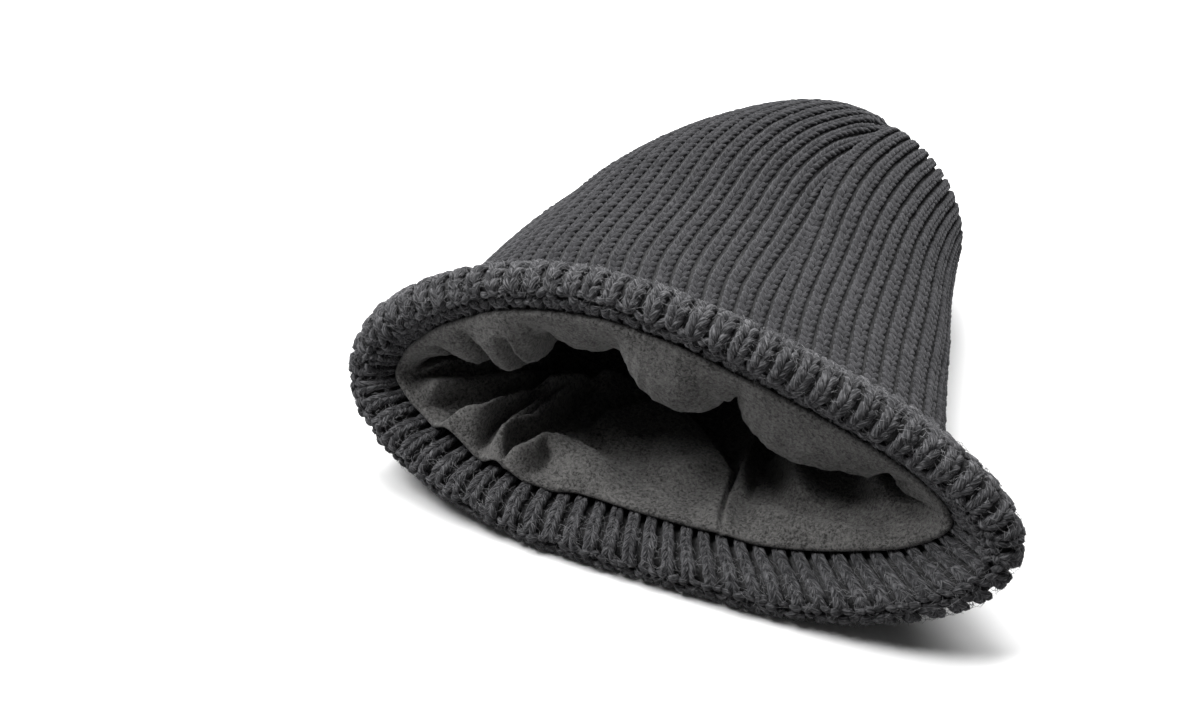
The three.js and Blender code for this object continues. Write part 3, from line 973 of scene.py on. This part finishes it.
# Width on each side, height, parts of the line that fade in and out, line of path and share.
RIDGES = [
    [10, 5.5, 13, 0.01, 0.25, [
        (1, 825), (7, 829), (11.5, 839), (17, 846), (24.5, 851), (35.5, 865), (53, 883), (72, 914),
        (90, 935),
    ]],
    [4.4, 4, 11, 0.2, 0.02, [
        (70, 903), (57, 894), (46.5, 888), (37, 886), (29.5, 883), (25.5, 876), (22, 871), (17, 869),
        (12, 871), (8, 875), (6, 880), (2, 883),
    ]],
    [7, 3.2, 8, 0.02, 0.2, [
        (2, 881), (5, 883), (9.5, 885), (14, 889), (19, 894), (23.5, 897), (26.5, 903), (28, 912),
    ]],
    [22, 5, 7, 0.15, 0.5, [
        (19, 894), (26.5, 903), (28, 912), (27.5, 925), (26, 941), (24.5, 956), (24.5, 972), (25, 994),
    ]],
    [34, 5, 7, 0.1, 0.15, [
        (36, 928), (51.5, 933), (61.5, 956), (67.5, 980), (64.5, 998), (57, 16), (49.5, 32), (41, 49),
        (34, 60),
    ]],
    [4.2, 4.2, 4.5, 0.2, 0.2, [(84, 68), (71.5, 66), (61, 65.5), (49, 66), (40, 68), (32.5, 70), (26, 75)]],
    [9, 9, 5.5, 0.2, 0.2, [(60, 95), (52.5, 99), (41.5, 115), (33.5, 121), (26.5, 121)]],
    [14, 4, 4, 0.2, 0.3, [
        (26, 70), (25.5, 79), (24, 91), (23.5, 103), (21.5, 119), (19.5, 139), (17.5, 159), (17, 190),
    ]],
    [5, 12, 8, 0.05, 0.3, [
        (13, 788), (25, 807), (36.5, 833), (48.5, 851), (65, 869), (76.5, 900), (80.5, 939),
    ]],
    [5, 12, 6.5, 0.1, 0.3, [(20, 755), (30, 779), (41, 809), (58.5, 831), (79.5, 852), (91.5, 880)]],
    [12, 12, 5, 0.2, 0.3, [(20, 200), (50, 190), (90, 170)]],
    [14, 14, 6, 0.2, 0.3, [(70, 700), (110, 760), (150, 800)]],
    [14, 14, 5, 0.2, 0.3, [(80, 350), (120, 300), (160, 280)]],
]
SEAM_LINE = [(4, 52), (12, 54), (20, 55), (26, 57), (36.5, 59), (44, 60), (61, 62.5), (120, 75)]
print(len(CREASES), "creases and", len(RIDGES), "folds, the highest", max(row[2] for row in RIDGES), "mm")


# %% Heights over the bag
def near_line(path, share, line):
    """Distance to a bent line in millimetres, its side, and how far along the line that is, 0 to 1.

    The line's shares are unwrapped, so that none jumps where the count starts again.
    """
    corners = np.array(line, dtype=float)
    corners[:, 1] = np.unwrap(2 * np.pi * (corners[:, 1] / SHARE_UNIT)) / (2 * np.pi) * FOLD_GIRTH
    lengths = np.linalg.norm(np.diff(corners, axis=0), axis=1)
    starts = np.concatenate([[0], np.cumsum(lengths)]) / lengths.sum()
    middle = np.median(corners[:, 1]) / FOLD_GIRTH
    y = (np.mod(share - middle + 0.5, 1) - 0.5 + middle) * FOLD_GIRTH
    best = np.full(np.broadcast(path, share).shape, np.inf)
    sign = np.ones_like(best)
    where = np.zeros_like(best)
    for k, length in enumerate(lengths):
        run = corners[k + 1] - corners[k]
        dx = path - corners[k, 0]
        dy = y - corners[k, 1]
        t = np.clip((dx * run[0] + dy * run[1]) / length**2, 0, 1)
        away = np.hypot(dx - t * run[0], dy - t * run[1])
        nearer = away < best
        sign = np.where(nearer, np.sign(run[0] * dy - run[1] * dx), sign)
        where = np.where(nearer, starts[k] + t * (starts[k + 1] - starts[k]), where)
        best = np.where(nearer, away, best)
    return best, sign, where


def hang_lift(path, share):
    """How far the upper lining hangs down: from nothing at the hem to the table's value, and back."""
    hang = round_table(HANGS / [SHARE_UNIT, 1], share, 1)
    hem = hem_path_at(share)
    return hang * smooth(path, hem - 2, hem + 15) * (1 - smooth(path, hem + 24, hem + 56))


def ridge_lift(path, share):
    """The highest of the folds, each a rounded ridge about its bent line, with its own width to each side."""
    highest = 0
    for near_width, far_width, height, fade_in, fade_out, line in RIDGES:
        away, side, where = near_line(path, share, line)
        width = np.where(side > 0, near_width, far_width)
        shape = np.cos(np.pi * np.minimum(away / width, 1) / 2) ** 2
        ends = smooth(where, -LINE_END, fade_in) * (1 - smooth(where, 1 - fade_out, 1 + LINE_END))
        highest = np.maximum(highest, height * ends * shape)
    return highest


def crease_share(path, share):
    """What part of the lift the narrow creases leave: 1 away from them."""
    left = 1.0
    for width, taken, line in CREASES:
        away, _, where = near_line(path, share, line)
        ends = smooth(where, -LINE_END, 0.08) * (1 - smooth(where, 0.85, 1 + LINE_END))
        left = left * (1 - taken * ends * np.exp(-((away / width) ** 2)))
    return left


def seam_lift(path, share):
    """The sewn seam: a narrow groove along the middle of a slightly puffed strip."""
    away, _, _ = near_line(path, share, SEAM_LINE)
    return 2.2 * np.exp(-((away / 5) ** 2)) - 2.6 * np.exp(-((away / 0.8) ** 2))


def lining_point(path, share, depth):
    """The plain bag, moved in by (hang + start * ridge) * crease + loose + start * seam.

    The start is 0.30 at the hem, where the cloth is sewn down, and 1 just behind it.
    """
    path, share, depth = np.broadcast_arrays(path, share, depth)
    hem = hem_path_at(share)
    path = path + (hem - FLEECE_START) * (1 - smooth(path, FLEECE_START, 45))
    start = 0.30 + 0.70 * smooth(path, hem - 1, hem + 3)
    uneven = 1 + wander(share, path, seed=61, turns=9, length=90)
    loose = 1.6 * smooth(path, hem + 12, hem + 40) * uneven
    lift = hang_lift(path, share) + start * ridge_lift(path, share)
    lift = lift * crease_share(path, share) + loose + start * seam_lift(path, share)
    out = sample(OUTWARD, np.maximum(path, PATH_STEP), share)
    return cloth(path, share, depth, depth) - out * lift[..., None]


# %% [markdown]
# ### Fleece
# Fleece is brushed and sheared, so no weave shows, only a short pile that rolls into small pebbles. The thin
# gaps between them are lowered by a bump and painted dark as shade. Its hairs would be far too many to draw.
# Fine noise, read at places that slower noise has bent, gives the gaps their irregular run.

# %% Fleece material
def make_fleece():
    """Short pile rolled into small pebbles: bent fine noise, its thin gaps painted dark as shade, on a slow
    mottling.
    """
    material, tree, skin = start_material("grey_fleece", {
        "Roughness": 1.0,
        "Specular IOR Level": 0.08,
        "Sheen Weight": 0.20,
        "Sheen Roughness": 0.5,
    })
    link = tree.links.new
    place = add_node(tree, "ShaderNodeTexCoord").outputs["Object"]
    shift = add_node(tree, "ShaderNodeVectorMath", {"Scale": 0.0022}, operation="SCALE")
    link(add_noise(tree, place, 700.0, 2.0, 0.6)["Color"], shift.inputs[0])
    bent = add_node(tree, "ShaderNodeVectorMath", operation="ADD")
    link(place, bent.inputs[0])
    link(shift.outputs[0], bent.inputs[1])
    gaps = add_noise(tree, bent.outputs[0], 1080.0, 2.5, 0.72)["Fac"]
    cloud = add_math(tree, "MULTIPLY", add_noise(tree, place, 90.0, 3.0, 0.55)["Fac"], 0.2)
    # The gaps are painted dark as shade, and the bump below lowers them too.
    shade = add_math(tree, "ADD", cloud, add_math(tree, "MULTIPLY", gaps, 0.8))
    dark, middle, pale = (0.033, 0.032, 0.031), (0.096, 0.094, 0.092), (0.190, 0.186, 0.181)
    link(add_ramp(tree, shade, dark, middle, pale, 0.47), skin.inputs["Base Color"])
    link(add_bump(tree, gaps, 0.9, 0.0006), skin.inputs["Normal"])
    return material


grey_fleece = make_fleece()
print("fleece:", len(grey_fleece.node_tree.nodes), "nodes")

# %% [markdown]
# ### The lining's mesh
# The bag has an inside that shows and a coarse outside against the knit. Its hem is a half roll
# between the two, so the fleece shows its thickness there.

# %% Lining mesh
LINING_COLUMNS = 560
LINING_INSIDE = np.concatenate([np.arange(FLEECE_START + 1.0, 110, 0.9), np.linspace(110, 216, 36)])
LINING_OUTSIDE = np.array([216, 195, 165, 130, 95, 68, 50, 38, 28, 20, FLEECE_START])
HEM_ANGLES = np.linspace(0, np.pi, 7)[1:-1]
HEM_RADIUS = FLEECE_WALL / 2
PILE = 0.18
TIP_DEPTH = FLEECE_DEPTH + 1
TIP_UV = 22


def make_lining():
    """A closed thin bag: the pebbled inside that shows and a plain outside against the knit."""
    share = np.arange(LINING_COLUMNS)[None] / LINING_COLUMNS
    hem_paths = FLEECE_START - HEM_RADIUS * np.sin(HEM_ANGLES)
    hem_depths = FLEECE_DEPTH + HEM_RADIUS * (1 - np.cos(HEM_ANGLES))
    hem = lining_point(hem_paths[:, None], share, hem_depths[:, None])
    path = LINING_INSIDE[:, None]
    pile = PILE * wander(share, path, seed=51, turns=160, length=1.6, waves=12)
    inner = lining_point(path, share, FLEECE_DEPTH + FLEECE_WALL + pile)
    outer = lining_point(LINING_OUTSIDE[:, None], share, FLEECE_DEPTH)
    poles = np.vstack([TIP - [0, TIP_DEPTH + FLEECE_WALL, 0], TIP - [0, TIP_DEPTH, 0]])
    points = np.vstack([hem.reshape(-1, 3), inner.reshape(-1, 3), poles, outer.reshape(-1, 3)])
    inside = np.concatenate([hem_paths, LINING_INSIDE])
    quads, fans = bag_faces(len(inside), len(LINING_OUTSIDE), LINING_COLUMNS)
    uv = bag_uv(inside, LINING_OUTSIDE, share[0], FOLD_GIRTH, TIP_UV)
    return make_piece("lining_bag", points, quads, fans, uv, grey_fleece)


lining_bag = make_lining()
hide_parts("fleece_lining")

# %% [markdown]
# ## What is cloth
# All three layers are sheets of cloth, and the stitches and loose fibres are part of them. The cell below
# only counts the pieces of stitches and fibres.

# %% Counting the pieces
print("three sheets of cloth, with", len(gores) + 2, "pieces that belong to them")

# %% [markdown]
# ## Floor and light
# A plain pale surface runs far past the hat. It is nearly white to the camera but throws back less
# light, or it would light the hat from below. A near soft lamp at the front left reaches into the
# mouth, a wide one overhead shows the ribs, and a wide one behind lights the rim's upper edge.

# %% Floor
FLOOR_HALF = 6.0
FLOOR_DROP = 0.0002
FLOOR_BOUNCE = 0.40
FLOOR_SEEN = 0.93


def make_floor():
    """One large square just under the hat, paler to the camera than to the light that it bounces."""
    mesh = bpy.data.meshes.new("studio_floor")
    corners = [(x * FLOOR_HALF, y * FLOOR_HALF, 0) for x, y in [(-1, -1), (1, -1), (1, 1), (-1, 1)]]
    mesh.from_pydata(corners, [], [(0, 1, 2, 3)])
    floor = add_object("studio_floor", mesh)
    floor.location.z = -FLOOR_DROP
    paper, tree, skin = start_material("pale_floor", {"Roughness": 0.9, "Specular IOR Level": 0.1})
    path = add_node(tree, "ShaderNodeLightPath")
    shade = add_node(tree, "ShaderNodeMapRange", {"To Min": FLOOR_BOUNCE, "To Max": FLOOR_SEEN})
    tree.links.new(path.outputs["Is Camera Ray"], shade.inputs["Value"])
    tree.links.new(shade.outputs["Result"], skin.inputs["Base Color"])
    mesh.materials.append(paper)


make_floor()
print("floor:", 2 * FLOOR_HALF, "m across")

# %% Light
LAMP_AIM = np.array([0, -0.03, 0.04])
LAMPS = [
    ("front_softbox", (-0.40, -0.27, 0.66), 0.28, 4.9),
    ("top_softbox", (-0.15, 0.06, 1.37), 0.8, 20),
    ("back_softbox", (0.00, 0.78, 1.15), 0.9, 17.5),
]
ROOM_STRENGTH = 0.07


def make_lamp(name, place, size, power):
    """A square soft lamp that faces the hat."""
    light = bpy.data.lights.new(name, "AREA")
    light.shape = "SQUARE"
    light.size = size
    light.energy = power
    lamp = add_object(name, light)
    aim = LAMP_AIM - np.array(place)
    aim = aim / np.linalg.norm(aim)
    side = np.cross(aim, [0, 0, 1])
    side = side / np.linalg.norm(side)
    turn = Matrix(np.column_stack([side, np.cross(side, aim), -aim]).tolist())
    lamp.matrix_world = Matrix.Translation(place) @ turn.to_4x4()


for row in LAMPS:
    make_lamp(*row)
world = bpy.data.worlds.new("pale_room")
world.use_nodes = True
room = world.node_tree.nodes["Background"]
room.inputs["Color"].default_value = (1.0, 1.0, 1.0, 1)
room.inputs["Strength"].default_value = ROOM_STRENGTH
bpy.context.scene.world = world
bpy.context.scene.view_settings.view_transform = "Standard"
print(len(LAMPS), "soft lamps of", [row[3] for row in LAMPS], "watts")
